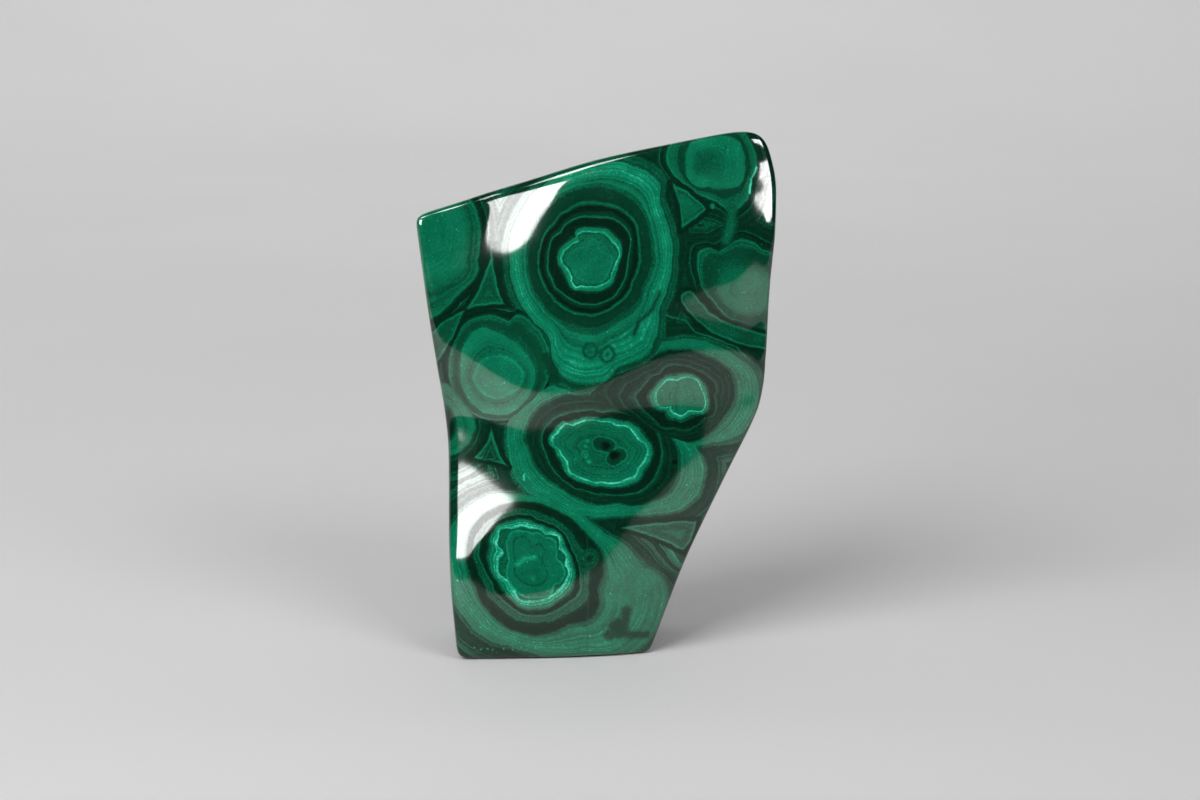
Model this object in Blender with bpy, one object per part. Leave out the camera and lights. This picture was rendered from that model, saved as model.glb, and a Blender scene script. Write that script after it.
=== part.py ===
"""A free-standing slab of polished malachite, sawn flat at the foot and ground to a soft, wavy freeform.

The stone is one solid. Its broad front faces -Y and it stands on its sawn foot, in the plane Z = 0. A box of
quads is laid out on the silhouette, its two broad faces are sunk and crowned as a lapidary wheel leaves
them, and a Subdivision Surface rounds every edge. Driving dimensions are in millimetres.
"""

import math

import bpy

MM = 0.001

# Silhouette seen from the front: (height, x) up each side, and (share of the way across, rise) along the top
HEIGHT_LEFT = 93.7
HEIGHT_RIGHT = 111.0
LEFT_EDGE = ((0.0, -29.6), (24.0, -31.4), (46.0, -30.8), (58.0, -32.6), (93.7, -37.0))
RIGHT_EDGE = ((0.0, 11.2), (22.0, 19.2), (44.0, 30.2), (58.0, 36.4), (72.0, 36.0), (100.0, 38.0), (111.0, 35.8))
TOP_RISE = ((0.0, 0.0), (0.25, 1.0), (0.5, 2.8), (0.75, 2.0), (0.93, 1.3), (1.0, 0.0))
TOP_FALL = 4.5

# Upright section through the middle: (height, y) up the front face and up the back face
FRONT_PROFILE = ((0.0, -14.0), (12.0, -14.6), (48.0, -11.8), (60.0, -11.6), (96.0, -8.8), (112.0, -6.6))
BACK_PROFILE = ((0.0, 15.0), (112.0, 11.0))
SIDE_TAPER = 3.0

# The middle of the stone's bounds, which lies over the origin
MIDDLE = (0.48, -0.35)

# Where the loops lie that hold the rounded edges: radius of the edge between the broad faces and the sides
EDGE_ROUND = 3.0
CORNER_ROUND = {
    "foot left": 4.0,
    "foot right": 3.0,
    "top left": 3.2,
    "top right": 8.0,
}

# Ground hollows (+) and swells (-) of the broad faces: x, z, half-width, half-height, depth
FRONT_DENTS = (
    (-40.0, 46.0, 20.0, 16.0, 8.0),
    (0.0, 44.0, 16.0, 11.0, 1.3),
    (22.0, 46.0, 15.0, 12.0, 1.8),
    (-4.0, 17.0, 26.0, 16.0, -2.0),
    (-22.0, 109.0, 13.0, 22.0, 7.0),
    (50.0, 106.0, 14.0, 22.0, 8.0),
    (37.0, 66.0, 17.0, 12.0, 5.0),
    (30.0, -4.0, 20.0, 34.0, 7.0),
)
BACK_DENTS = (
    (30.0, 66.0, 20.0, 18.0, 2.8),
    (-30.0, 84.0, 18.0, 22.0, 2.2),
    (-34.0, 20.0, 18.0, 18.0, 1.8),
    (0.0, 48.0, 26.0, 30.0, -1.2),
)

# Cells of the box between the edge loops
CELLS_ACROSS = 6
CELLS_UP = 10
CELLS_DEEP = 1
SMOOTHING_LEVELS = 2

# Finish of the stone
MALACHITE_GREEN = (0.012, 0.205, 0.105, 1.0)
POLISH_ROUGHNESS = 0.08


def between(points, at):
    """The second value of the points at the first value `at`, on straight runs between them."""
    for (at_0, value_0), (at_1, value_1) in zip(points, points[1:]):
        if at <= at_1:
            return value_0 + (value_1 - value_0) * (at - at_0) / (at_1 - at_0)
    return points[-1][1]


def blend(low, high, share):
    return low + (high - low) * share


def corner_round(across, up):
    """Radius of the silhouette's corners, blended from the four named ones."""
    foot = blend(CORNER_ROUND["foot left"], CORNER_ROUND["foot right"], across)
    top = blend(CORNER_ROUND["top left"], CORNER_ROUND["top right"], across)
    return blend(foot, top, up)


def loop_shares(cells):
    """Where the loops lie from one edge to the other: (even share, side whose edge loop this is)."""
    even = [(index / cells, 0) for index in range(cells + 1)]
    return [even[0], (0.0, -1), *even[1:-1], (1.0, 1), even[-1]]


def silhouette(across, up):
    """The point (x, z) at a share of the way across and up the slab."""
    rise = between(TOP_RISE, across) * up * up
    z = blend(HEIGHT_LEFT, HEIGHT_RIGHT, across) * up + rise
    left = between(LEFT_EDGE, HEIGHT_LEFT * up)
    right = between(RIGHT_EDGE, HEIGHT_RIGHT * up)
    return blend(left, right, across), z


def silhouette_at_loops(across_loop, up_loop):
    """The point (x, z) where two loops cross. An edge loop is set in from the edge by the corner's radius."""
    across, across_side = across_loop
    up, up_side = up_loop
    inset = corner_round(across, up)
    x_left, _ = silhouette(0.0, up)
    x_right, _ = silhouette(1.0, up)
    _, z_top = silhouette(across, 1.0)
    across -= across_side * inset / (x_right - x_left)
    up -= up_side * inset / z_top
    return silhouette(across, up)


def dent_depth(dents, x, z):
    return sum(
        depth * math.exp(-(((x - at_x) / wide) ** 2) - ((z - at_z) / tall) ** 2)
        for at_x, at_z, wide, tall, depth in dents
    )


def face_depths(x, z):
    """Y of the front face and of the back face at (x, z)."""
    front = between(FRONT_PROFILE, z) + dent_depth(FRONT_DENTS, x, z)
    back = between(BACK_PROFILE, z) - dent_depth(BACK_DENTS, x, z)
    return front, back


def place(across_loop, up_loop, deep_loop):
    """The box's corner or crossing at three loops, in millimetres."""
    deep, deep_side = deep_loop
    x, z = silhouette_at_loops(across_loop, up_loop)
    front, back = face_depths(x, z)
    y = blend(front, back, deep) - deep_side * EDGE_ROUND
    if abs(across_loop[0] - 0.5) == 0.5 and across_loop[1] == 0:
        inwards = 1 if across_loop[0] == 0 else -1
        x += inwards * SIDE_TAPER * deep * min(1.0, z / EDGE_ROUND)
    z -= TOP_FALL * deep * up_loop[0] ** 2
    return x, y, z


def box_faces(counts):
    """The quads round the outside of a block of points, each wound so that it faces out."""
    last = [count - 1 for count in counts]
    for axis in range(3):
        first_way, second_way = [(axis + step) % 3 for step in (1, 2)]
        for end in (0, last[axis]):
            for i in range(last[first_way]):
                for j in range(last[second_way]):
                    corners = [(i, j), (i + 1, j), (i + 1, j + 1), (i, j + 1)]
                    if end == 0:
                        corners.reverse()
                    quad = []
                    for first, second in corners:
                        point = [0, 0, 0]
                        point[axis] = end
                        point[first_way] = first
                        point[second_way] = second
                        quad.append(tuple(point))
                    yield quad


def stone_cage():
    """Points and quads of the block, before it is rounded."""
    across_loops = loop_shares(CELLS_ACROSS)
    deep_loops = loop_shares(CELLS_DEEP)
    up_loops = loop_shares(CELLS_UP)
    counts = (len(across_loops), len(deep_loops), len(up_loops))
    number = {}
    points = []
    faces = []
    for quad in box_faces(counts):
        for key in quad:
            if key in number:
                continue
            number[key] = len(points)
            across, deep, up = key
            x, y, z = place(across_loops[across], up_loops[up], deep_loops[deep])
            points.append(((x - MIDDLE[0]) * MM, (y - MIDDLE[1]) * MM, z * MM))
        faces.append([number[key] for key in quad])
    return points, faces


def malachite():
    material = bpy.data.materials.new("polished malachite")
    material.use_nodes = True
    shader = material.node_tree.nodes["Principled BSDF"]
    shader.inputs["Base Color"].default_value = MALACHITE_GREEN
    shader.inputs["Roughness"].default_value = POLISH_ROUGHNESS
    shader.inputs["Metallic"].default_value = 0.0
    return material


def make_stone():
    mesh = bpy.data.meshes.new("stone")
    points, faces = stone_cage()
    mesh.from_pydata(points, [], faces)
    mesh.shade_smooth()
    mesh.materials.append(malachite())
    stone = bpy.data.objects.new("stone", mesh)
    bpy.context.scene.collection.objects.link(stone)
    rounding = stone.modifiers.new("rounded edges", "SUBSURF")
    rounding.levels = SMOOTHING_LEVELS
    rounding.render_levels = SMOOTHING_LEVELS
    return stone


for old in list(bpy.data.objects):
    bpy.data.objects.remove(old)
make_stone()
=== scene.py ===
"""A slab of polished malachite on a pale studio floor.

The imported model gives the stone's shape. Here it is worked finer, ground to the waves of its polish, and given
the banded green of malachite: bullseyes that grew outwards ring by ring until they met.
"""

import math

import bpy
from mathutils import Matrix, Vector
from mathutils.bvhtree import BVHTree


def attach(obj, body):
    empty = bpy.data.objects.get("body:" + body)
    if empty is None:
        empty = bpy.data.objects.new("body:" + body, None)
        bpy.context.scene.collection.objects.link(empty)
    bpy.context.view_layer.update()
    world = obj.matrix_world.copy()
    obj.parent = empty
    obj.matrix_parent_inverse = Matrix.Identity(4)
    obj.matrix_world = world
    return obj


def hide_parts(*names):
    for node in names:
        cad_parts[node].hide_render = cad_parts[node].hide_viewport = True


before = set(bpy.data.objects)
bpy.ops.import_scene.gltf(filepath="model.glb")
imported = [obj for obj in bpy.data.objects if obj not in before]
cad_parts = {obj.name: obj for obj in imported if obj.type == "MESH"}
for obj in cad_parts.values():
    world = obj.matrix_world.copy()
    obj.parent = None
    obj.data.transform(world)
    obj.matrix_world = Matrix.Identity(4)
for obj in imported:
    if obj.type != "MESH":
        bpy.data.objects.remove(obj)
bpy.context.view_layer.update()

MM = 0.001

# Camera: bearing and height of the line of sight in degrees, its distance, and what it is aimed at
SIGHT_BEARING = -4.0
SIGHT_HEIGHT = 11.0
SIGHT_DISTANCE = 0.627
SIGHT_AIM = Vector((0.00012, -0.01165, 0.0553))
LENS = 90.0
SENSOR_WIDTH = 36.0

# Mesh of the stone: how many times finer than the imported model's it is worked, points that lie closer than this
# are one, and triangles that lie flatter than this to each other are one quad
SMOOTHING_LEVELS = 2
SAME_POINT = 0.01 * MM
QUAD_ANGLE = math.radians(60.0)

# Waves that the wheel left in the front face, in millimetres: x, z, half-width, half-height, depth inwards.
# They fade out between two depths of the stone, so that the back keeps its shape, and right above the foot.
WAVES = (
    (-33.9, 85.2, 6.7, 8.5, 0.79),
    (-27.7, 97.6, 5.0, 5.5, -1.08),
    (-15.0, 98.7, 9.3, 10.3, -1.25),
    (21.6, 104.3, 16.8, 6.0, 1.52),
    (27.2, 89.0, 8.8, 18.0, 0.51),
    (-23.1, 74.5, 14.8, 8.4, 0.54),
    (-6.6, 65.4, 17.9, 6.4, 1.09),
    (29.0, 80.5, 27.5, 9.6, -0.94),
    (33.5, 72.8, 3.1, 16.8, 1.32),
    (-30.5, 52.8, 8.1, 5.7, 1.66),
    (24.0, 63.0, 36.1, 7.4, -1.09),
    (28.2, 57.1, 20.5, 6.4, 0.85),
    (29.7, 41.4, 11.9, 12.1, 1.57),
    (-36.2, 28.0, 18.8, 6.8, 0.83),
    (-25.5, 49.2, 20.2, 18.8, -0.82),
    (9.0, 37.7, 10.3, 11.3, -1.21),
    (19.0, 42.1, 6.8, 8.0, -0.84),
    (-16.8, 21.2, 11.0, 5.6, 0.60),
    (16.9, 15.6, 9.6, 15.1, 1.34),
    (25.0, 35.8, 14.4, 17.2, 1.55),
    (-22.5, 95.0, 5.6, 5.7, 0.47),
    (-20.8, 86.6, 14.0, 5.9, -0.22),
    (-7.7, 99.8, 5.0, 5.9, -0.39),
    (-27.7, 30.4, 5.0, 8.5, -0.32),
    (-22.5, 27.4, 6.0, 5.4, -0.44),
    (-27.7, 21.9, 5.0, 5.4, -0.48),
    (34.4, 97.0, 4.9, 6.4, 0.18),
    (34.6, 90.3, 5.0, 5.0, -0.33),
    (30.9, 93.2, 4.9, 4.9, -0.27),
)
WAVES_FULL_AT = -1.0
WAVES_GONE_AT = 5.0
WAVES_FULL_HEIGHT = 2.0

# The waves draw the outline in a little. It is stretched back by these shares: (height in mm, share)
STRETCH_LEFT = ((0.0, 0.008), (14.0, 0.013), (30.0, 0.004), (55.0, 0.006), (66.0, 0.014), (74.0, 0.019),
                (92.0, 0.018), (112.0, 0.005))
STRETCH_RIGHT = ((0.0, 0.028), (25.0, 0.042), (38.0, 0.042), (52.0, 0.045), (62.0, 0.020), (80.0, 0.018),
                 (88.0, 0.026), (98.0, 0.024), (112.0, 0.010))

# Places on the front face are in steps of 0.209 mm, read off the photograph: across from its left edge, and
# up from the foot's lowest row. Each is worked out from a place in the stone: what a metre along X, Y and Z
# adds, and the steps at the origin. The camera's view goes into them, so the layers run along its sight.
FOOT_ROW = 656.0
ACROSS_FROM_PLACE = (4763.9, -448.3, 7.1)
ACROSS_AT_ORIGIN = 593.95
UP_FROM_PLACE = (61.7, 791.8, 4696.6)
UP_AT_ORIGIN = 6.35

# Longest reach of an outline, in steps. A curve runs from 0 to 1, so an outline's reaches are shares of this.
REACH_MOST = 160.0

# Noise is given as (fineness, detail, roughness). Its values mostly lie in this span.
NOISE_SPAN = (0.3, 0.7)

# What bends the layers: a ripple all over, in steps, and with each millimetre of depth a lean and a wander
RIPPLE = (0.055, 5.0, 0.62)
RIPPLE_REACH = 5.0
LEAN = (1.1, -0.8, 0.0)
WANDER = (42.0, 2.0, 0.5)
WANDER_REACH = 5.0
NOISE_MIDDLE = (0.5, 0.5, 0.5)

# Depth is measured along the line of sight from this far outside, in metres. A point with less stone before it
# than the slack, in millimetres, is on the front face.
WELL_OUTSIDE = 0.5
DEPTH_SLACK = 0.05

# Tones of malachite, from the nearly black layers to the mint one: share of light, colour
TONES = (
    (0.00, (0.0008, 0.0045, 0.0026)),
    (0.15, (0.0009, 0.0140, 0.0070)),
    (0.35, (0.0010, 0.0370, 0.0175)),
    (0.55, (0.0012, 0.0800, 0.0385)),
    (0.75, (0.0020, 0.1380, 0.0690)),
    (0.88, (0.0080, 0.2450, 0.1350)),
    (1.00, (0.0700, 0.4800, 0.3500)),
)

# The stone's unevenness: clouds that lighten and darken the tone, a fine grain, and light specks in that grain,
# which are partly the stone's own lighter grains and partly painted glints standing in for the sparkle of its
# polish
CLOUD = (260.0, 3.0, 0.6)
CLOUD_TONE = (0.90, 1.10)
GRAIN = (2600.0, 2.0, 0.6)
GRAIN_TONE = (-0.075, 0.075)
SPECK_AND_GLINT_SPAN = (0.68, 0.77)
SPECK_AND_GLINT_TONE = (0.0, 0.30)

# Polish: the pale layers take a brighter shine than the dark ones, and the foot is polished least
SHINE_TONES = (0.12, 0.60)
SHINE = (0.30, 0.60)
SHINE_ROWS = (10.0, 190.0)
SHINE_UP = (0.68, 1.0)
ROUGHNESS = (0.07, 0.10)
UNEVEN_STRENGTH = 0.03
UNEVEN_HEIGHT = 0.1 * MM
INDEX_OF_MALACHITE = 1.8

# Fine lines inside the layers: their noise, and how far they darken and lighten them
LINE_NOISE = (11.0, 4.0, 0.7)
CLEAR_LINES = (0.76, 1.16)
FAINT_LINES = (0.88, 1.09)

# The eyes. Each has four outlines as (bearing, reach), the bearing in degrees, anticlockwise from the right: the
# mint line, the first light line outside it, and the start and end of the broad light layer. The layers are
# (place, tone), the place counted from 0 in the middle over 1 at the mint line, 2 at the light line and 3 at the
# broad layer's start to 4 at its end. An eye can have inner shapes, each with its outline, the tone inside it and
# the tone of its own line.
EYE_A = {
    "middle": (590, 262),
    "mint": ((0, 26), (10, 29.5), (25, 31), (40, 30.5), (60, 31), (90, 29.5), (105, 30), (115, 29), (118, 23),
             (130, 24.5), (145, 26), (160, 27.5), (175, 28), (185, 27), (195, 23.5), (207, 21.5), (220, 23),
             (232, 27.5), (240, 29), (250, 26), (260, 25), (280, 25), (300, 25), (315, 26.5), (330, 25.5),
             (345, 24.5)),
    "line": ((0, 38), (20, 42), (35, 47), (50, 49), (60, 48.5), (80, 45), (100, 45), (120, 44), (135, 40.5),
             (150, 43), (165, 42.5), (180, 42), (210, 42), (240, 41.5), (270, 42), (290, 42), (310, 40.5),
             (330, 38.5), (345, 38)),
    "broad": ((0, 63), (20, 65), (40, 72), (60, 76), (80, 76), (110, 72), (150, 64), (180, 62), (210, 63),
              (240, 65), (260, 66.5), (280, 65.5), (300, 60.5), (320, 62), (335, 59), (350, 61)),
    "end": ((0, 87), (17, 90), (39, 96), (52, 114), (70, 112), (90, 100), (120, 95), (150, 90), (180, 85),
            (210, 86), (229, 87), (239, 89), (247, 108), (252, 124), (258, 133), (269, 137), (286, 120),
            (300, 122), (310, 112), (320, 98), (328, 90), (345, 88)),
    "inner": (
        (((0, 21.5), (15, 22), (30, 17.5), (45, 15), (60, 17), (82, 23), (100, 15.5), (115, 15.6), (130, 17.5),
          (150, 20), (172, 22.5), (186, 21), (198, 17), (215, 19), (237, 20), (270, 20), (295, 22), (330, 22)),
         0.59, 0.67),
    ),
    "layers": ((0.0, 0.58), (0.60, 0.58), (0.90, 0.54), (0.955, 0.48), (0.98, 0.62), (0.992, 1.00), (1.01, 1.00),
               (1.05, 0.84), (1.14, 0.76), (1.26, 0.56), (1.42, 0.13), (1.86, 0.09),
               (1.95, 0.24), (1.99, 0.60), (2.03, 0.54), (2.08, 0.24), (2.16, 0.20), (2.20, 0.08), (2.33, 0.08),
               (2.41, 0.58), (2.46, 0.50), (2.52, 0.24), (2.90, 0.28), (3.02, 0.52), (3.10, 0.64), (3.22, 0.60),
               (3.40, 0.74), (3.74, 0.74), (3.82, 0.30), (3.90, 0.44)),
}
EYE_B = {
    "middle": (682, 396),
    "mint": ((0, 23), (15, 21), (30, 22), (60, 22), (75, 21), (90, 19), (105, 17.5), (120, 20), (135, 22.5),
             (150, 23), (165, 26), (195, 26), (207, 24), (215, 19), (222, 15), (230, 17), (240, 19),
             (255, 19.5), (270, 20), (280, 18.5), (295, 15.5), (305, 18), (318, 23), (330, 25.5), (345, 25)),
    "line": ((0, 32), (20, 36), (40, 32), (90, 31), (120, 34), (135, 32), (150, 37), (165, 40), (180, 48),
             (200, 41), (215, 37), (240, 37), (255, 33), (270, 34), (300, 33), (315, 32), (330, 38), (345, 36)),
    "broad": ((0, 54), (24, 55), (45, 51), (70, 47), (90, 47), (120, 50), (135, 52), (157, 66), (177, 93),
              (190, 80), (210, 60), (240, 52), (270, 47), (300, 47), (331, 48)),
    "end": ((0, 84), (15, 84), (30, 76), (45, 68), (82, 61), (114, 60), (135, 56), (157, 69), (177, 96),
            (190, 84), (210, 63), (240, 56), (267, 53), (297, 56), (318, 70), (340, 82)),
    "layers": ((0.0, 0.62), (0.70, 0.62), (0.78, 0.68), (0.84, 0.60), (0.92, 0.64), (0.965, 0.80), (0.985, 0.98),
               (1.015, 0.98), (1.05, 0.84), (1.14, 0.78), (1.32, 0.50), (1.50, 0.12), (1.88, 0.12), (1.96, 0.32),
               (2.0, 0.46), (2.05, 0.30), (2.15, 0.18), (2.30, 0.13), (2.36, 0.34), (2.42, 0.17), (2.60, 0.13),
               (2.66, 0.28), (2.74, 0.15), (2.92, 0.18), (3.02, 0.50), (3.3, 0.64), (3.75, 0.68), (3.85, 0.36),
               (4.0, 0.50)),
}
EYE_C = {
    "middle": (602, 451),
    "mint": ((0, 47), (10, 44), (15, 40), (30, 38), (45, 36), (60, 31), (75, 30.5), (90, 30), (100, 32),
             (115, 35.5), (130, 38.5), (137, 40), (143, 46), (150, 48), (157, 49), (162, 52), (172, 50),
             (178, 43), (185, 41), (195, 37), (210, 38.5), (225, 36), (240, 33), (255, 32), (270, 31),
             (285, 33), (300, 36), (315, 38.5), (325, 42), (335, 41), (345, 44), (355, 46)),
    "line": ((0, 60), (30, 57), (60, 44), (90, 40), (120, 47), (145, 57), (165, 62), (180, 57), (210, 50),
             (240, 44), (270, 42.5), (300, 50), (320, 57), (335, 59)),
    "broad": ((0, 76), (20, 66), (30, 60), (60, 58), (90, 56), (100, 58), (120, 66), (140, 75), (165, 79),
              (180, 72), (210, 60), (225, 54), (270, 53), (285, 54), (300, 62), (315, 72), (335, 80)),
    "end": ((0, 98), (10, 84), (18, 72), (30, 63), (60, 61), (90, 59), (103, 63), (110, 68), (122, 78),
            (138, 92), (150, 98), (165, 100), (180, 96), (200, 92), (215, 82), (225, 76), (240, 75), (255, 68),
            (270, 66), (286, 68), (311, 85), (327, 104), (334, 108), (348, 107)),
    "layers": ((0.0, 0.52), (0.42, 0.50), (0.46, 0.60), (0.50, 0.50), (0.60, 0.52), (0.66, 0.62), (0.71, 0.50),
               (0.78, 0.62), (0.83, 0.54), (0.90, 0.64), (0.96, 0.72), (0.985, 0.98), (1.012, 0.98), (1.04, 0.84),
               (1.14, 0.78), (1.30, 0.58), (1.46, 0.13), (1.85, 0.11), (1.95, 0.32), (2.0, 0.56), (2.06, 0.40),
               (2.2, 0.20), (2.45, 0.16), (2.55, 0.30), (2.62, 0.16), (2.90, 0.22), (3.0, 0.48), (3.12, 0.64),
               (3.5, 0.70), (3.85, 0.66), (4.0, 0.46)),
}
EYE_D = {
    "middle": (533, 564),
    "mint": ((0, 33), (15, 34.5), (22, 33), (30, 30), (40, 35), (50, 38), (60, 35), (66, 32.5), (80, 36.5),
             (95, 38), (105, 41), (120, 42.5), (135, 48), (140, 45), (150, 42), (155, 35), (160, 33),
             (175, 35.5), (195, 36), (205, 32), (215, 29.5), (225, 31), (240, 34), (250, 38), (260, 38),
             (270, 37.5), (285, 37.5), (300, 36.5), (330, 37), (350, 36), (357, 33)),
    "line": ((0, 46), (20, 42), (60, 45), (80, 45), (100, 52), (120, 55), (140, 58), (165, 57), (180, 51),
             (205, 45), (215, 48), (230, 48), (250, 50), (270, 52), (300, 53), (315, 53), (325, 55), (340, 51),
             (350, 48)),
    "broad": ((0, 72), (30, 62), (60, 59), (90, 62), (120, 68), (150, 72), (180, 66), (200, 63), (215, 64),
              (240, 68), (270, 72), (300, 71), (320, 80), (340, 70)),
    "end": ((0, 112), (15, 92), (30, 76), (60, 68), (90, 70), (120, 82), (150, 92), (180, 94), (200, 95),
            (210, 91), (238, 91), (255, 88), (270, 94), (300, 120), (320, 145), (340, 150)),
    "inner": (
        (((15, 24), (34, 27.5), (47, 32), (65, 28.8), (77, 31.5), (92, 31), (105, 35), (121, 38), (135, 35),
          (148, 31), (171, 23.6), (203, 28), (238, 31.5), (259, 33.8), (277, 33.5), (300, 34), (317, 29),
          (333, 33), (352, 31)),
         0.60, 0.78),
        (((6, 9.6), (33, 11.5), (51, 18.3), (70, 20), (95, 17.6), (99, 23), (107, 29.4), (120, 31), (128, 29.6),
          (141, 24.8), (168, 18.4), (181, 16), (208, 20.4), (224, 19.5), (253, 21), (282, 21), (311, 19.6),
          (333, 15.2)),
         0.55, 0.42),
    ),
    "layers": ((0.0, 0.54), (0.80, 0.50), (0.93, 0.46), (0.965, 0.60), (0.988, 0.98), (1.012, 0.98), (1.05, 0.92),
               (1.20, 0.82), (1.48, 0.60), (1.68, 0.14), (1.86, 0.10), (1.95, 0.40), (2.0, 0.60), (2.06, 0.44),
               (2.14, 0.34), (2.18, 0.46), (2.24, 0.34), (2.30, 0.46), (2.38, 0.36), (2.46, 0.14), (2.85, 0.12),
               (2.96, 0.26), (3.03, 0.56), (3.15, 0.64), (3.6, 0.70), (3.82, 0.62), (3.9, 0.50), (4.0, 0.30)),
}

# The plainer nodules between the eyes, in the same terms: the core, the light ring round it, and the start
# and end of the outermost light line. Their fine lines are faint.
LEFT_MIDDLE = {
    "fine": FAINT_LINES,
    "middle": (498, 376),
    "mint": ((0, 26), (45, 22), (90, 21), (135, 22), (180, 25), (225, 23), (270, 21), (315, 22)),
    "line": ((0, 37), (30, 36), (60, 38), (90, 43), (110, 51), (130, 47), (160, 39), (180, 37), (225, 37),
             (270, 39), (300, 37), (330, 36)),
    "broad": ((0, 50), (20, 56), (40, 60), (55, 63), (70, 65), (78, 56), (84, 57), (95, 61), (106, 62), (120, 61),
              (134, 57), (166, 50), (180, 49), (210, 46), (240, 45), (270, 44), (300, 44), (330, 46)),
    "end": ((0, 54), (20, 60), (40, 64), (55, 67), (70, 72), (78, 66), (84, 66), (95, 68), (106, 69), (120, 68),
            (134, 64), (166, 57), (180, 55), (210, 50), (240, 48), (270, 47), (300, 47), (330, 50)),
    "layers": ((0.0, 0.68), (0.86, 0.66), (0.94, 0.74), (1.0, 0.78), (1.05, 0.60), (1.30, 0.52), (1.55, 0.64),
               (1.80, 0.68), (1.98, 0.68), (2.10, 0.44), (2.35, 0.34), (2.65, 0.36), (2.78, 0.50), (2.85, 0.42),
               (2.93, 0.60), (3.0, 0.54), (3.20, 0.22), (3.5, 0.13), (4.0, 0.12)),
}
TOP_LEFT = {
    "fine": FAINT_LINES,
    "middle": (424, 238),
    "mint": ((0, 40), (90, 50), (180, 40), (270, 44), (315, 44)),
    "line": ((0, 48), (60, 56), (90, 60), (180, 50), (260, 58), (280, 57), (300, 56), (319, 57), (337, 50)),
    "broad": ((0, 57), (60, 62), (90, 66), (180, 60), (260, 82), (279, 79), (288, 73), (304, 66), (326, 65),
              (339, 59)),
    "end": ((0, 64), (60, 70), (90, 74), (180, 70), (260, 90), (279, 86), (288, 81), (304, 74), (326, 73),
            (339, 67)),
    "layers": ((0.0, 0.58), (0.5, 0.62), (0.9, 0.60), (1.5, 0.54), (1.9, 0.42), (2.05, 0.36), (2.25, 0.52),
               (2.5, 0.44), (2.8, 0.54), (2.95, 0.60), (3.03, 0.50), (3.2, 0.18), (3.5, 0.12), (4.0, 0.12)),
}
LEFT_EDGE = {
    "middle": (440, 430),
    "mint": ((0, 14), (45, 18), (90, 24), (180, 12), (270, 12)),
    "line": ((0, 25), (30, 26), (60, 28), (84, 36), (180, 24), (270, 20), (300, 22)),
    "broad": ((0, 34), (13, 35), (30, 35), (61, 37), (84, 47), (180, 34), (270, 27), (294, 27), (347, 32)),
    "end": ((0, 38), (13, 39), (30, 39), (61, 41), (84, 51), (180, 38), (270, 31), (294, 31), (347, 36)),
    "layers": ((0.0, 0.14), (0.8, 0.14), (1.0, 0.36), (1.3, 0.58), (1.7, 0.62), (1.95, 0.50), (2.1, 0.60),
               (2.4, 0.66), (2.85, 0.62), (3.0, 0.50), (3.3, 0.26), (4.0, 0.18)),
}
TOP_RIGHT = {
    "fine": FAINT_LINES,
    "middle": (708, 166),
    "mint": ((0, 12), (90, 14), (180, 14), (270, 10)),
    "line": ((0, 36), (37, 38), (90, 27), (125, 28), (180, 22), (223, 25), (270, 21), (300, 26), (332, 36)),
    "broad": ((0, 48), (20, 47), (33, 48), (60, 50), (90, 40), (120, 40), (150, 44), (165, 44), (180, 41),
              (198, 35), (232, 29), (275, 34), (289, 43), (296, 52), (308, 52), (321, 50), (342, 44)),
    "end": ((0, 56), (20, 55), (33, 56), (60, 58), (90, 46), (120, 46), (150, 50), (165, 50), (180, 47),
            (198, 41), (232, 35), (275, 40), (289, 49), (296, 59), (308, 59), (321, 57), (342, 51)),
    "layers": ((0.0, 0.42), (0.8, 0.46), (1.1, 0.54), (1.4, 0.64), (1.9, 0.66), (2.0, 0.58), (2.12, 0.32),
               (2.36, 0.28), (2.5, 0.48), (2.85, 0.54), (2.95, 0.66), (3.02, 0.58), (3.25, 0.20), (4.0, 0.12)),
}
RIGHT_SIDE = {
    "fine": FAINT_LINES,
    "middle": (742, 288),
    "mint": ((0, 30), (90, 15), (180, 22), (270, 22)),
    "line": ((0, 36), (90, 30), (130, 36), (180, 30), (230, 25), (270, 29), (320, 36)),
    "broad": ((0, 42), (45, 46), (65, 44), (78, 47), (92, 48), (110, 44), (123, 42), (127, 48), (133, 53),
              (140, 56), (149, 52), (161, 46), (181, 38), (206, 32), (242, 32), (277, 38), (299, 49), (330, 44)),
    "end": ((0, 50), (45, 54), (65, 52), (78, 55), (92, 56), (110, 52), (123, 52), (127, 56), (133, 61),
            (140, 64), (149, 60), (161, 53), (181, 45), (206, 39), (242, 38), (277, 43), (299, 53), (330, 50)),
    "layers": ((0.0, 0.62), (0.8, 0.62), (1.2, 0.56), (1.7, 0.42), (2.0, 0.34), (2.55, 0.34), (2.75, 0.50),
               (2.88, 0.42), (2.95, 0.62), (3.02, 0.58), (3.25, 0.20), (4.0, 0.12)),
}
NODULES = (EYE_A, EYE_C, EYE_B, EYE_D, LEFT_MIDDLE, TOP_LEFT, LEFT_EDGE, TOP_RIGHT, RIGHT_SIDE)

# What grew round the nodules until they met: (steps outside the nearest one, tone), and its bands
LATER_LAYERS = ((0.0, 0.38), (1.5, 0.26), (3.0, 0.16), (8.0, 0.22), (12.0, 0.17), (14.0, 0.34), (15.5, 0.24),
                (18.0, 0.38), (21.0, 0.46), (22.0, 0.22), (27.0, 0.18), (29.0, 0.50), (36.0, 0.62), (37.0, 0.28),
                (40.0, 0.34))
BAND_NOISE = (0.55, 4.0, 0.7)
BAND_TONE = (0.60, 1.45)

# An inner shape of an eye, in steps outside its outline: where its inside starts and ends, where its line does,
# and where the line is gone; then how much the inside and the line cover
INNER_INSIDE = (-24.0, -1.4)
INNER_LINE = (-0.4, 0.4)
INNER_GONE = 1.6
INNER_COVER = 0.85
INNER_LINE_COVER = 0.95

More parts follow.
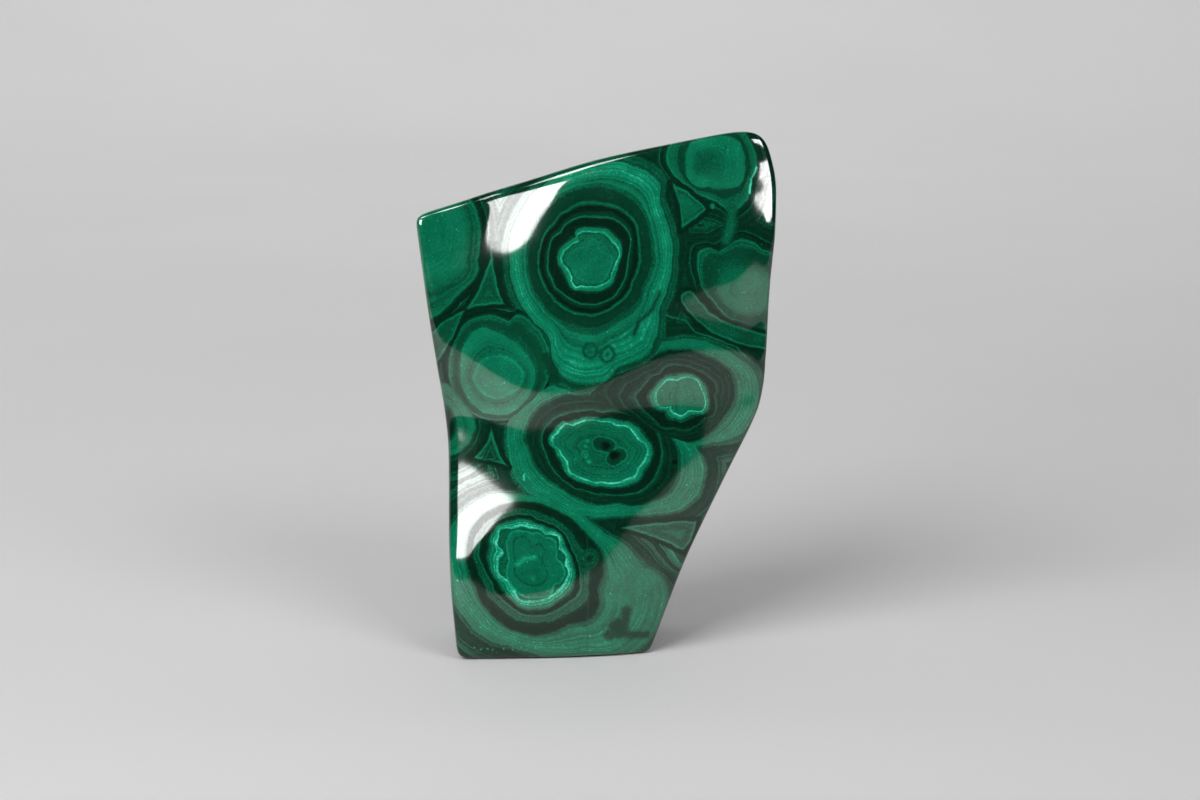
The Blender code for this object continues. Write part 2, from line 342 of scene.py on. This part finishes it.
# What grew last, in the gaps, and the small marks inside the eyes, in the order in which they are laid over the
# layers. Each is (kind, its shape, stops), and a stop is (gap, tone, how much it covers). The kinds are
#   hollow: corners, and how far each side bows in; the gap counts inwards
#   lines: lines through points
#   ring: middle, and reach of the circle; a reach of 0 makes a spot
#   strokes: reach of the stroke round the points that follow it
GAP_LAYERS = ((-5.0, 0.13, 0.0), (-3.5, 0.13, 1.0), (-0.8, 0.13, 1.0), (0.2, 0.34, 1.0), (0.8, 0.62, 1.0),
              (1.8, 0.62, 1.0), (3.0, 0.42, 1.0), (7.0, 0.38, 1.0), (11.0, 0.54, 1.0))
TWIN_RING = ((0.0, 0.34, 0.8), (1.2, 0.38, 0.65), (3.4, 0.5, 0.0))
TWIN_MIDDLE = ((0.0, 0.36, 0.7), (2.5, 0.40, 0.5), (3.5, 0.5, 0.0))
# painted shade: a pit drawn near black on the flat face, standing in for the shade inside a hollow
PIT_SHADE = ((0.0, 0.0, 1.0), (3.2, 0.03, 0.9), (6.0, 0.1, 0.0))
LOBE = ((0.0, 0.66, 0.6), (0.9, 0.6, 0.4), (2.0, 0.6, 0.0))
SMALL_MARKS = (
    # four triangles in the gaps, the plain middle of the second and the inner triangle of the third
    ("hollow", (((493, 246), (505, 304), (466, 310)), (3.0, 2.0, 4.0)), GAP_LAYERS),
    ("hollow", (((672, 184), (706, 209), (681, 229)), (-2.0, -1.0, 2.0)), GAP_LAYERS),
    ("hollow", (((491, 427), (507, 466), (472, 458)), (2.0, 1.5, 3.0)), GAP_LAYERS),
    ("hollow", (((620, 527), (698, 522), (685, 553)), (-1.5, -2.0, 2.5)), GAP_LAYERS),
    ("hollow", (((676, 192), (701, 208), (682, 222)), (-1.0, -1.0, 1.0)),
     ((-0.5, 0.50, 0.0), (1.0, 0.52, 0.85), (3.0, 0.54, 0.9))),
    ("hollow", (((490, 441), (497, 460), (481, 461)), (1.0, 1.0, 1.0)),
     ((-1.2, 0.20, 0.0), (0.0, 0.20, 1.0), (1.0, 0.55, 1.0), (2.0, 0.25, 1.0))),
    # strip by the left edge, and the leaf beside the right nodule
    ("hollow", (((465, 310), (430, 372), (428, 336)), (-3.0, 0.5, -2.0)),
     ((-4.5, 0.14, 0.0), (-3.0, 0.14, 1.0), (-0.8, 0.14, 1.0), (0.5, 0.60, 1.0), (1.6, 0.56, 1.0),
      (2.8, 0.42, 1.0), (8.0, 0.40, 1.0))),
    ("lines", (((688, 298), (703, 316), (717, 326), (737, 334), (772, 343)),),
     ((0.0, 0.46, 1.0), (3.5, 0.42, 1.0), (5.2, 0.42, 1.0), (6.2, 0.60, 1.0), (7.2, 0.58, 1.0), (8.5, 0.14, 1.0),
      (11.0, 0.12, 0.9), (13.0, 0.12, 0.0))),
    # bud on the lowest eye
    ("ring", ((589.3, 558.4), 0.0),
     ((0.0, 0.16, 1.0), (2.5, 0.26, 1.0), (5.5, 0.44, 1.0), (7.0, 0.34, 1.0), (9.5, 0.38, 0.9), (12.0, 0.2, 0.0))),
    # two dark rings grown together, each with a dark middle
    ("ring", ((590.6, 350), 7.0), TWIN_RING),
    ("ring", ((590.6, 350), 0.0), TWIN_MIDDLE),
    ("ring", ((607.5, 354), 7.0), TWIN_RING),
    ("ring", ((607.5, 354), 0.0), TWIN_MIDDLE),
    # the third eye's dark twin core with a pit in each half, its dots and its small ring; the pits are painted near
    # black as painted shade in a hollow that the mesh doesn't have
    ("lines", (((599, 443), (609, 445)), ((613.5, 458.5), (619.5, 454))),
     ((0.0, 0.22, 1.0), (4.5, 0.30, 1.0), (6.0, 0.34, 1.0), (6.8, 0.64, 1.0), (7.6, 0.60, 0.9), (9.0, 0.44, 0.6),
      (11.0, 0.50, 0.0))),
    ("ring", ((605.5, 445.6), 0.0), PIT_SHADE),
    ("ring", ((614.5, 454.3), 0.0), PIT_SHADE),
    ("strokes", ((1.0, (588, 440)), (0.8, (586, 446)), (1.2, (589, 461)), (0.6, (575, 459))),
     ((-1.2, 0.80, 1.0), (0.8, 0.72, 0.9), (2.0, 0.45, 0.6), (3.0, 0.5, 0.0))),
    ("ring", ((585, 454), 3.2), ((0.0, 0.72, 0.9), (0.8, 0.66, 0.6), (1.8, 0.5, 0.0))),
    # the first eye's ring and bright fleck
    ("ring", ((586, 269), 4.6), ((0.0, 0.70, 0.8), (0.8, 0.64, 0.5), (1.6, 0.6, 0.0))),
    ("ring", ((595, 259), 0.0), ((0.0, 0.72, 0.8), (2.0, 0.66, 0.6), (4.5, 0.6, 0.0))),
    # bright flecks in the lowest eye
    ("strokes", ((1.6, (518, 564), (525, 558), (535, 557)), (1.4, (533, 578))),
     ((-1.6, 0.82, 0.95), (0.8, 0.74, 0.8), (3.4, 0.6, 0.0))),
    # line between the second eye's halves, and the lobes in them
    ("lines", (((679, 382), (676, 398), (677, 409)),), ((0.0, 0.44, 0.7), (1.0, 0.46, 0.4), (2.2, 0.5, 0.0))),
    ("ring", ((690, 393), 6.0), LOBE),
    ("ring", ((690, 393), 11.5), LOBE),
    ("ring", ((668, 396), 5.5), LOBE),
    # lone dot at the top right, and the dark pit at the lower right, painted near black as painted shade in a
    # hollow that the mesh doesn't have
    ("ring", ((712, 206), 0.0), ((0.0, 0.64, 1.0), (2.0, 0.58, 1.0), (3.2, 0.4, 0.0))),
    ("ring", ((675.6, 461.5), 0.0), ((0.0, 0.0, 1.0), (2.2, 0.02, 1.0), (3.4, 0.1, 0.0))),
    # plain part of the lowest eye's light layer
    ("ring", ((634, 588), 0.0), ((0.0, 0.64, 0.8), (20.0, 0.62, 0.7), (34.0, 0.6, 0.0))),
    # dark streaks and blotches, and the dark patch near the foot
    ("strokes", ((0.6, (659, 292), (653, 308), (639, 322), (634, 334)), (4.0, (547, 358), (556, 378)),
                 (3.5, (627, 612), (626, 622)), (9.5, (619, 630)), (5.0, (610, 636)),
                 (2.5, (628, 637), (647, 637))),
     ((-4.0, 0.24, 0.9), (0.0, 0.26, 0.8), (1.5, 0.34, 0.5), (4.0, 0.5, 0.0))),
    # hairline cracks
    ("strokes", ((0.0, (586.7, 529), (587, 650)), (0.0, (582.5, 486), (582.5, 496)), (0.0, (591, 490), (591, 507))),
     ((0.0, 0.50, 0.45), (0.5, 0.46, 0.3), (1.1, 0.4, 0.0))),
    # chips along the foot
    ("strokes", ((0.0, (474, 649)), (0.0, (480.5, 650.5)), (0.0, (487, 649)), (0.0, (492, 650)),
                 (0.0, (503, 649.5)), (0.0, (513, 650.5)), (0.0, (521, 649))),
     ((0.0, 0.92, 0.9), (0.9, 0.8, 0.6), (1.7, 0.4, 0.0))),
    # mint thread by the right edge and two flecks, and the thin light line over the right nodule's foot
    ("strokes", ((0.3, (756, 167), (750.7, 179.5), (749.5, 193)), (0.2, (524, 474), (524, 480)),
                 (0.4, (457.5, 581))),
     ((-0.4, 0.97, 1.0), (0.6, 0.90, 0.9), (1.8, 0.6, 0.0))),
    ("lines", (((666, 315), (685, 320), (695, 331), (713, 337), (736, 346), (747, 357)),),
     ((0.0, 0.60, 0.9), (0.7, 0.54, 0.7), (1.8, 0.4, 0.0))),
    # green vein from the top right nodule down to the right one
    ("lines", (((731, 212), (730, 226), (726, 240)),), ((0.0, 0.50, 1.0), (3.0, 0.46, 1.0), (9.0, 0.2, 0.0))),
)

# Floor: middle and size of the table top, how the backdrop rises from its far edge, which is the one beyond
# FAR_EDGE_FROM, and the sweep between the two. The tones are (Y, tone), darker towards the near edge.
FLOOR_MIDDLE = (0.0, 0.55, 0.0)
FLOOR_SCALE = (3.0, 1.7, 1.0)
FAR_EDGE_FROM = 1.0
BACKDROP_RISE = (0.0, 0.5, 2.0)
SWEEP_RADIUS = 0.5
SWEEP_SEGMENTS = 24
FLOOR_TONES = ((-0.32, 0.18), (-0.14, 0.385), (0.05, 0.45), (0.20, 0.525), (0.40, 0.60), (0.60, 0.68), (0.85, 0.75))
FLOOR_CLOUD = (6.0, 2.0, 0.5)
FLOOR_CLOUD_TONE = (0.985, 1.015)
FLOOR_ROUGHNESS = 0.75

# Lamps, placed round the middle of the stone: name, bearing, height, distance, width, length and power. The panes
# are mirrored in the polish and light nothing else; the others light the stone and the floor and aren't mirrored.
STONE_MIDDLE = Vector((0.0, 0.0, 0.055))
PANES = (
    ("left pane", -26.4, 23.9, 0.75, 0.421, 0.371, 5.8),
    ("right pane", 57.0, 18.8, 0.75, 0.333, 0.15, 2.6),
    ("top strip", -32.0, 64.0, 0.9, 0.35, 0.2, 1.9),
)
LAMPS = (
    ("left key", -41.0, 33.0, 0.75, 0.5, 0.5, 8.0),
    ("right key", 32.0, 33.0, 0.75, 0.35, 0.35, 3.2),
    ("top fill", 0.0, 80.0, 1.1, 0.9, 0.9, 2.6),
)
BACK_LAMP = ("back fill", 180.0, 60.0, 1.5, 2.4, 0.8, 14.0)
BACK_LAMP_AIM = Vector((0.0, 1.5, 0.3))

# The room beyond the floor: its tone as light, and as the camera sees it
ROOM_LIGHT = 0.01
ROOM_SEEN = 0.55


class Bench:
    """Adds nodes to one material and wires them. Each way of adding gives the socket with its result."""

    COLUMNS = 40
    STEP_ACROSS = -220
    STEP_DOWN = -180

    def __init__(self, material):
        self.tree = material.node_tree
        self.count = 0

    def node(self, kind):
        node = self.tree.nodes.new(kind)
        row, column = divmod(self.count, self.COLUMNS)
        node.location = (self.STEP_ACROSS * column, self.STEP_DOWN * row)
        node.hide = True
        self.count += 1
        return node

    def wire(self, value, socket):
        if isinstance(value, bpy.types.NodeSocket):
            self.tree.links.new(value, socket)
        else:
            socket.default_value = value

    def math(self, operation, *values, clamp=False):
        node = self.node("ShaderNodeMath")
        node.operation = operation
        node.use_clamp = clamp
        for value, socket in zip(values, node.inputs):
            self.wire(value, socket)
        return node.outputs[0]

    def vector(self, operation, *values, scale=None):
        node = self.node("ShaderNodeVectorMath")
        node.operation = operation
        for value, socket in zip(values, node.inputs):
            self.wire(value, socket)
        if scale is not None:
            self.wire(scale, node.inputs["Scale"])
        is_number = operation in ("DOT_PRODUCT", "LENGTH", "DISTANCE")
        return node.outputs["Value" if is_number else "Vector"]

    def join(self, x, y, z=0.0):
        node = self.node("ShaderNodeCombineXYZ")
        for value, socket in zip((x, y, z), node.inputs):
            self.wire(value, socket)
        return node.outputs[0]

    def split(self, vector):
        node = self.node("ShaderNodeSeparateXYZ")
        self.wire(vector, node.inputs[0])
        return node.outputs[0], node.outputs[1], node.outputs[2]

    def share(self, value, low, high, to_low=0.0, to_high=1.0, smooth=False):
        """How far the value is from low to high, held at the ends."""
        node = self.node("ShaderNodeMapRange")
        node.clamp = True
        node.interpolation_type = "SMOOTHSTEP" if smooth else "LINEAR"
        for item, name in zip((value, low, high, to_low, to_high),
                              ("Value", "From Min", "From Max", "To Min", "To Max")):
            self.wire(item, node.inputs[name])
        return node.outputs[0]

    def mix(self, share, first, second):
        node = self.node("ShaderNodeMix")
        node.data_type = "FLOAT"
        for value, socket in zip((share, first, second), (node.inputs[0], node.inputs[2], node.inputs[3])):
            self.wire(value, socket)
        return node.outputs[0]

    def ramp(self, value, stops, low=0.0, high=1.0):
        """The tone or colour of the stops, (place, tone), between low and high. A tone comes out as Alpha."""
        if (low, high) != (0.0, 1.0):
            value = self.math("DIVIDE", self.math("SUBTRACT", value, low), high - low)
        node = self.node("ShaderNodeValToRGB")
        elements = node.color_ramp.elements
        while len(elements) > 1:
            elements.remove(elements[-1])
        for number, (at, tone) in enumerate(stops):
            at = (at - low) / (high - low)
            if number == 0:
                element = elements[0]
                element.position = at
            else:
                element = elements.new(at)
            is_colour = isinstance(tone, tuple)
            element.color = (*tone, 1.0) if is_colour else (tone, tone, tone, tone)
        self.wire(value, node.inputs[0])
        return node.outputs["Color" if is_colour else "Alpha"]

    def noise(self, place, scale, detail=2.0, roughness=0.5, ways="2D"):
        """Cloudy noise between about 0 and 1, and its coloured kind, over one, two or three ways."""
        node = self.node("ShaderNodeTexNoise")
        node.noise_dimensions = ways
        self.wire(place, node.inputs["W" if ways == "1D" else "Vector"])
        node.inputs["Scale"].default_value = scale
        node.inputs["Detail"].default_value = detail
        node.inputs["Roughness"].default_value = roughness
        return node.outputs["Fac"], node.outputs["Color"]

    def outline(self, bearing, points):
        """Reach of a closed outline at a bearing. It is rounded outside and has sharp clefts inside."""
        node = self.node("ShaderNodeFloatCurve")
        curve = node.mapping.curves[0]
        points = sorted(((angle + 180.0) % 360.0 / 360.0, reach) for angle, reach in points)
        (first_at, first), (last_at, last) = points[0], points[-1]
        if first_at > 0.0:
            seam = last + (first - last) * (1.0 - last_at) / (1.0 - last_at + first_at)
            points.insert(0, (0.0, seam))
        points.append((1.0, points[0][1]))
        for number, (at, reach) in enumerate(points):
            height = reach / REACH_MOST
            if number < 2:
                spot = curve.points[number]
                spot.location = (at, height)
            else:
                spot = curve.points.new(at, height)
        for number, spot in enumerate(curve.points):
            before = points[number - 1][1] if number else points[-2][1]
            after = points[number + 1][1] if number + 1 < len(points) else points[1][1]
            cleft = points[number][1] < min(before, after)
            spot.handle_type = "VECTOR" if cleft else "AUTO"
        node.mapping.update()
        self.wire(bearing, node.inputs["Value"])
        return self.math("MULTIPLY", node.outputs[0], REACH_MOST)


def spot(across, row):
    """A place on the face, from the photograph's column and row."""
    return (float(across), FOOT_ROW - row, 0.0)


def polar(bench, place, middle):
    """Reach and bearing (0 to 1, from the left) of the place about a middle."""
    away = bench.vector("SUBTRACT", place, spot(*middle))
    reach = bench.vector("LENGTH", away)
    across, up, _ = bench.split(away)
    turn = bench.math("ARCTAN2", up, across)
    bearing = bench.math("MULTIPLY_ADD", turn, 0.5 / math.pi, 0.5)
    return reach, bearing


def eye(bench, place, eye_shape):
    """One bullseye: its tone, and how far outside its broad layer the place is."""
    reach, bearing = polar(bench, place, eye_shape["middle"])
    layer = None
    start = 0.0
    for name in ("mint", "line", "broad", "end"):
        end = bench.outline(bearing, eye_shape[name])
        part = bench.share(reach, start, end)
        layer = part if layer is None else bench.math("ADD", layer, part)
        start = end
    tone = bench.ramp(layer, eye_shape["layers"], 0.0, 4.0)
    fine, _ = bench.noise(layer, *LINE_NOISE, "1D")
    tone = bench.math("MULTIPLY", tone, bench.share(fine, *NOISE_SPAN, *eye_shape.get("fine", CLEAR_LINES)))
    for outline, inside, line in eye_shape.get("inner", ()):
        past = bench.math("SUBTRACT", reach, bench.outline(bearing, outline))
        stops = [(at, inside, INNER_COVER) for at in INNER_INSIDE]
        stops += [(at, line, INNER_LINE_COVER) for at in INNER_LINE]
        tone = draw(bench, tone, past, (*stops, (INNER_GONE, line, 0.0)))
    return tone, bench.math("SUBTRACT", reach, end)


def nearer(bench, first, second):
    """Two growths where they met: the one that the place is deeper in shows."""
    tone_1, out_1 = first
    tone_2, out_2 = second
    is_second = bench.math("LESS_THAN", out_2, out_1)
    return bench.mix(is_second, tone_1, tone_2), bench.math("MINIMUM", out_1, out_2)


def hollow_shape(bench, place, corners, bows):
    """How far inside a shape the place is. Its sides join the corners, and bow in where the bow is positive."""
    inside = None
    count = len(corners)
    middle = sum((Vector(spot(*corner)) for corner in corners), Vector()) / count
    for number, bow in enumerate(bows):
        start = Vector(spot(*corners[number]))
        end = Vector(spot(*corners[(number + 1) % count]))
        half = (end - start).length / 2
        radius = (half * half + bow * bow) / (2 * abs(bow))
        chord = (end - start).normalized()
        outward = Vector((chord.y, -chord.x, 0.0))
        if outward.dot(middle - start) > 0:
            outward = -outward
        sign = 1.0 if bow > 0 else -1.0
        centre = (start + end) / 2 + outward * sign * (radius - abs(bow))
        away = bench.vector("DISTANCE", place, tuple(centre))
        side = bench.math("SUBTRACT", away, radius) if bow > 0 else bench.math("SUBTRACT", radius, away)
        inside = side if inside is None else bench.math("MINIMUM", inside, side)
    furthest = max((Vector(spot(*corner)) - middle).length for corner in corners)
    around = bench.math("SUBTRACT", furthest, bench.vector("DISTANCE", place, tuple(middle)))
    return bench.math("MINIMUM", inside, around)


def line_gap(bench, place, points):
    """Distance from a line through the points."""
    gap = None
    for start, end in zip(points, points[1:]):
        start = Vector(spot(*start))
        along = Vector(spot(*end)) - start
        away = bench.vector("SUBTRACT", place, tuple(start))
        share = bench.vector("DOT_PRODUCT", away, tuple(along / along.length_squared))
        share = bench.math("ADD", share, 0.0, clamp=True)
        foot = bench.vector("SCALE", tuple(along), scale=share)
        piece = bench.vector("DISTANCE", away, foot)
        gap = piece if gap is None else bench.math("MINIMUM", gap, piece)
    return gap


def lines_gap(bench, place, *lines):
    """Distance from the nearest of some lines, each through its points."""
    gap = None
    for points in lines:
        away = line_gap(bench, place, points)
        gap = away if gap is None else bench.math("MINIMUM", gap, away)
    return gap


def strokes_gap(bench, place, *strokes):
    """Distance outside the nearest of some strokes: each is (reach, points of its line or its one point)."""
    gap = None
    for reach, *points in strokes:
        if len(points) > 1:
            away = line_gap(bench, place, points)
        else:
            away = bench.vector("DISTANCE", place, spot(*points[0]))
        away = bench.math("SUBTRACT", away, reach)
        gap = away if gap is None else bench.math("MINIMUM", gap, away)
    return gap


def ring(bench, place, middle, reach):
    """Distance from a small circle."""
    away = bench.vector("DISTANCE", place, spot(*middle))
    return bench.math("ABSOLUTE", bench.math("SUBTRACT", away, reach))


def draw(bench, tone, gap, stops):
    """Lays a feature over the tone: stops are (gap, tone, how much it covers)."""
    low, high = stops[0][0], stops[-1][0]
    new_tone = bench.ramp(gap, [(at, value) for at, value, _ in stops], low, high)
    cover = bench.ramp(gap, [(at, value) for at, _, value in stops], low, high)
    return bench.mix(cover, tone, new_tone)


def grown_place(bench):
    """The place on the face's grid. Behind the front face the layers lean and wander with depth."""
    coordinates = bench.node("ShaderNodeTexCoord").outputs["Object"]
    across = bench.math("ADD", bench.vector("DOT_PRODUCT", coordinates, ACROSS_FROM_PLACE), ACROSS_AT_ORIGIN)
    up = bench.math("ADD", bench.vector("DOT_PRODUCT", coordinates, UP_FROM_PLACE), UP_AT_ORIGIN)
    depth_node = bench.node("ShaderNodeAttribute")
    depth_node.attribute_name = "depth"
    depth = depth_node.outputs["Fac"]
    flat = bench.join(across, up)
    _, wander = bench.noise(coordinates, *WANDER, "3D")
    wander = bench.vector("SUBTRACT", wander, NOISE_MIDDLE)
    wander = bench.vector("SCALE", wander, scale=bench.math("MULTIPLY", depth, WANDER_REACH))
    lean = bench.vector("SCALE", LEAN, scale=depth)
    _, ripple = bench.noise(flat, *RIPPLE)
    ripple = bench.vector("SCALE", bench.vector("SUBTRACT", ripple, NOISE_MIDDLE), scale=RIPPLE_REACH)
    place = bench.vector("ADD", flat, lean)
    place = bench.vector("ADD", place, wander)
    place = bench.vector("ADD", place, ripple)
    across, up, _ = bench.split(place)
    return bench.join(across, up), coordinates


def malachite_layers(bench, place):
    """The tone of the stone, from 0 nearly black to 1 mint."""
    both = None
    for nodule in NODULES:
        grown = eye(bench, place, nodule)
        both = grown if both is None else nearer(bench, both, grown)
    tone, out = both
    later = bench.ramp(out, LATER_LAYERS, 0.0, LATER_LAYERS[-1][0])
    bands, _ = bench.noise(out, *BAND_NOISE, "1D")
    later = bench.math("MULTIPLY", later, bench.share(bands, *NOISE_SPAN, *BAND_TONE))
    is_later = bench.math("GREATER_THAN", out, 0.0)
    return bench.mix(is_later, tone, later)


def small_marks(bench, place, tone):
    """Lays the small marks over the layers, one after another."""
    gap_of = {"hollow": hollow_shape, "lines": lines_gap, "ring": ring, "strokes": strokes_gap}
    for kind, shape, stops in SMALL_MARKS:
        tone = draw(bench, tone, gap_of[kind](bench, place, *shape), stops)
    return tone


def malachite():
    material = bpy.data.materials.new("banded malachite")
    material.use_nodes = True
    bench = Bench(material)
    shader = material.node_tree.nodes["Principled BSDF"]
    place, coordinates = grown_place(bench)
    tone = malachite_layers(bench, place)
    tone = small_marks(bench, place, tone)
    cloud, _ = bench.noise(coordinates, *CLOUD, "3D")
    grain, _ = bench.noise(coordinates, *GRAIN, "3D")
    tone = bench.math("MULTIPLY", tone, bench.share(cloud, *NOISE_SPAN, *CLOUD_TONE))
    tone = bench.math("ADD", tone, bench.share(grain, *NOISE_SPAN, *GRAIN_TONE))
    # light specks in the grain: partly the stone's own lighter grains, partly painted glints for the sparkle of the
    # polish
    tone = bench.math("ADD", tone, bench.share(grain, *SPECK_AND_GLINT_SPAN, *SPECK_AND_GLINT_TONE))
    _, up, _ = bench.split(place)
    shine = bench.share(tone, *SHINE_TONES, *SHINE)
    shine = bench.math("MULTIPLY", shine, bench.share(up, *SHINE_ROWS, *SHINE_UP))
    colour = bench.ramp(tone, TONES)
    bench.wire(colour, shader.inputs["Base Color"])
    bench.wire(shine, shader.inputs["Specular IOR Level"])
    roughness = bench.share(cloud, *NOISE_SPAN, *ROUGHNESS)
    bench.wire(roughness, shader.inputs["Roughness"])
    bump = bench.node("ShaderNodeBump")
    bump.inputs["Strength"].default_value = UNEVEN_STRENGTH
    bump.inputs["Distance"].default_value = UNEVEN_HEIGHT
    bench.wire(cloud, bump.inputs["Height"])
    bench.wire(bump.outputs[0], shader.inputs["Normal"])
    shader.inputs["IOR"].default_value = INDEX_OF_MALACHITE
    return material


def toward(bearing, height):
    """Unit vector to a place seen from the stone, at a bearing from straight ahead and a height, in degrees."""
    turn, rise = math.radians(bearing), math.radians(height)
    return Vector((math.sin(turn) * math.cos(rise), -math.cos(turn) * math.cos(rise), math.sin(rise)))


def select_only(piece):
    bpy.ops.object.select_all(action="DESELECT")
    piece.select_set(True)
    bpy.context.view_layer.objects.active = piece


def measure_depth(piece):
    """Stores on every point how many millimetres of stone lie before it, along the line of sight."""
    mesh = piece.data
    sight = -toward(SIGHT_BEARING, SIGHT_HEIGHT)
    faces = [tuple(face.vertices) for face in mesh.polygons]
    tree = BVHTree.FromPolygons([point.co for point in mesh.vertices], faces)
    depth = mesh.attributes.new("depth", "FLOAT", "POINT")
    for point in mesh.vertices:
        start = point.co - sight * WELL_OUTSIDE
        hit = tree.ray_cast(start, sight)[0]
        before = (point.co - hit).dot(sight) / MM if hit else 0.0
        depth.data[point.index].value = max(0.0, before - DEPTH_SLACK)


def between(points, at):
    """The second value of the points at the first value `at`, on straight runs between them."""
    for (at_0, value_0), (at_1, value_1) in zip(points, points[1:]):
        if at <= at_1:
            return value_0 + (value_1 - value_0) * (at - at_0) / (at_1 - at_0)
    return points[-1][1]


def grind_waves(piece):
    """Moves the front face in and out by the waves that mirror the studio as bands and bright panes."""
    for point in piece.data.vertices:
        x, y, z = point.co / MM
        share = (WAVES_GONE_AT - y) / (WAVES_GONE_AT - WAVES_FULL_AT)
        share = max(0.0, min(1.0, share))
        share = share * share * (3.0 - 2.0 * share)
        inwards = sum(
            depth * math.exp(-(((x - at_x) / wide) ** 2) - ((z - at_z) / tall) ** 2)
            for at_x, at_z, wide, tall, depth in WAVES
        )
        point.co.y += inwards * share * min(1.0, z / WAVES_FULL_HEIGHT) * MM


def stretch_outline(piece):
    """Puts the outline back where the waves draw it in."""
    for point in piece.data.vertices:
        x, _, z = point.co / MM
        point.co.x += x * between(STRETCH_LEFT if x < 0 else STRETCH_RIGHT, z) * MM


def make_stone():
    """The stone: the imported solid's own mesh, worked finer."""
    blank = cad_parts["stone"]
    piece = bpy.data.objects.new("polished_stone", blank.data.copy())
    bpy.context.scene.collection.objects.link(piece)
    select_only(piece)
    bpy.ops.object.mode_set(mode="EDIT")
    bpy.ops.mesh.select_all(action="SELECT")
    bpy.ops.mesh.remove_doubles(threshold=SAME_POINT)
    bpy.ops.mesh.customdata_custom_splitnormals_clear()
    bpy.ops.mesh.tris_convert_to_quads(face_threshold=QUAD_ANGLE, shape_threshold=QUAD_ANGLE)
    bpy.ops.object.mode_set(mode="OBJECT")
    finer = piece.modifiers.new("finer", "SUBSURF")
    finer.levels = SMOOTHING_LEVELS
    finer.render_levels = SMOOTHING_LEVELS
    bpy.ops.object.modifier_apply(modifier=finer.name)
    bpy.ops.object.shade_smooth()
    grind_waves(piece)
    stretch_outline(piece)
    measure_depth(piece)
    piece.data.materials.clear()
    piece.data.materials.append(malachite())
    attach(piece, "root")
    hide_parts("stone")
    return piece


def studio_floor():
    """A matt table top with a near edge, and a backdrop that rises behind it."""
    bpy.ops.object.select_all(action="DESELECT")
    bpy.ops.mesh.primitive_plane_add(size=1.0, location=FLOOR_MIDDLE)
    floor = bpy.context.object
    floor.name = "studio_floor"
    floor.scale = FLOOR_SCALE
    bpy.ops.object.transform_apply(location=True, rotation=True, scale=True)
    bpy.ops.object.mode_set(mode="EDIT")
    bpy.ops.mesh.select_all(action="DESELECT")
    bpy.ops.object.mode_set(mode="OBJECT")
    for edge in floor.data.edges:
        edge.select = all(floor.data.vertices[index].co.y > FAR_EDGE_FROM for index in edge.vertices)
    bpy.ops.object.mode_set(mode="EDIT")
    bpy.ops.mesh.select_mode(type="EDGE")
    bpy.ops.mesh.extrude_region_move(TRANSFORM_OT_translate={"value": BACKDROP_RISE})
    bpy.ops.object.mode_set(mode="OBJECT")
    curve = floor.modifiers.new("sweep", "BEVEL")
    curve.width = SWEEP_RADIUS
    curve.segments = SWEEP_SEGMENTS
    curve.limit_method = "ANGLE"
    bpy.ops.object.modifier_apply(modifier=curve.name)
    bpy.ops.object.shade_smooth()
    material = bpy.data.materials.new("matt card")
    material.use_nodes = True
    bench = Bench(material)
    shader = material.node_tree.nodes["Principled BSDF"]
    coordinates = bench.node("ShaderNodeTexCoord").outputs["Object"]
    cloud, _ = bench.noise(coordinates, *FLOOR_CLOUD, "3D")
    _, back, _ = bench.split(coordinates)
    tone = bench.ramp(back, FLOOR_TONES, FLOOR_TONES[0][0], FLOOR_TONES[-1][0])
    tone = bench.math("MULTIPLY", tone, bench.share(cloud, *NOISE_SPAN, *FLOOR_CLOUD_TONE))
    bench.wire(bench.join(tone, tone, tone), shader.inputs["Base Color"])
    shader.inputs["Roughness"].default_value = FLOOR_ROUGHNESS
    floor.data.materials.append(material)


def softbox(name, bearing, height, distance, width, length, power, aim=STONE_MIDDLE, mirrored=False):
    """A soft lamp, placed as seen from the stone. One that is mirrored in the polish lights nothing else."""
    light = bpy.data.lights.new(name, "AREA")
    light.shape = "RECTANGLE"
    light.size = width
    light.size_y = length
    light.energy = power
    lamp = bpy.data.objects.new(name, light)
    lamp.location = STONE_MIDDLE + toward(bearing, height) * distance
    lamp.rotation_euler = (aim - lamp.location).to_track_quat("-Z", "Y").to_euler()
    lamp.visible_glossy = mirrored
    lamp.visible_diffuse = not mirrored
    bpy.context.scene.collection.objects.link(lamp)


def studio():
    """The lamps, the room and the camera."""
    for lamp in PANES:
        softbox(*lamp, mirrored=True)
    for lamp in LAMPS:
        softbox(*lamp)
    softbox(*BACK_LAMP, aim=BACK_LAMP_AIM)
    scene = bpy.context.scene
    world = bpy.data.worlds.new("studio")
    world.use_nodes = True
    bench = Bench(world)
    is_seen = bench.node("ShaderNodeLightPath").outputs["Is Camera Ray"]
    tone = bench.share(is_seen, 0.0, 1.0, ROOM_LIGHT, ROOM_SEEN)
    bench.wire(bench.join(tone, tone, tone), world.node_tree.nodes["Background"].inputs["Color"])
    scene.world = world
    camera = bpy.data.cameras.new("camera")
    camera.lens = LENS
    camera.sensor_width = SENSOR_WIDTH
    viewer = bpy.data.objects.new("camera", camera)
    viewer.location = SIGHT_AIM + toward(SIGHT_BEARING, SIGHT_HEIGHT) * SIGHT_DISTANCE
    viewer.rotation_euler = (SIGHT_AIM - viewer.location).to_track_quat("-Z", "Y").to_euler()
    scene.collection.objects.link(viewer)
    scene.camera = viewer
    scene.view_settings.view_transform = "Standard"


make_stone()
studio_floor()
studio()
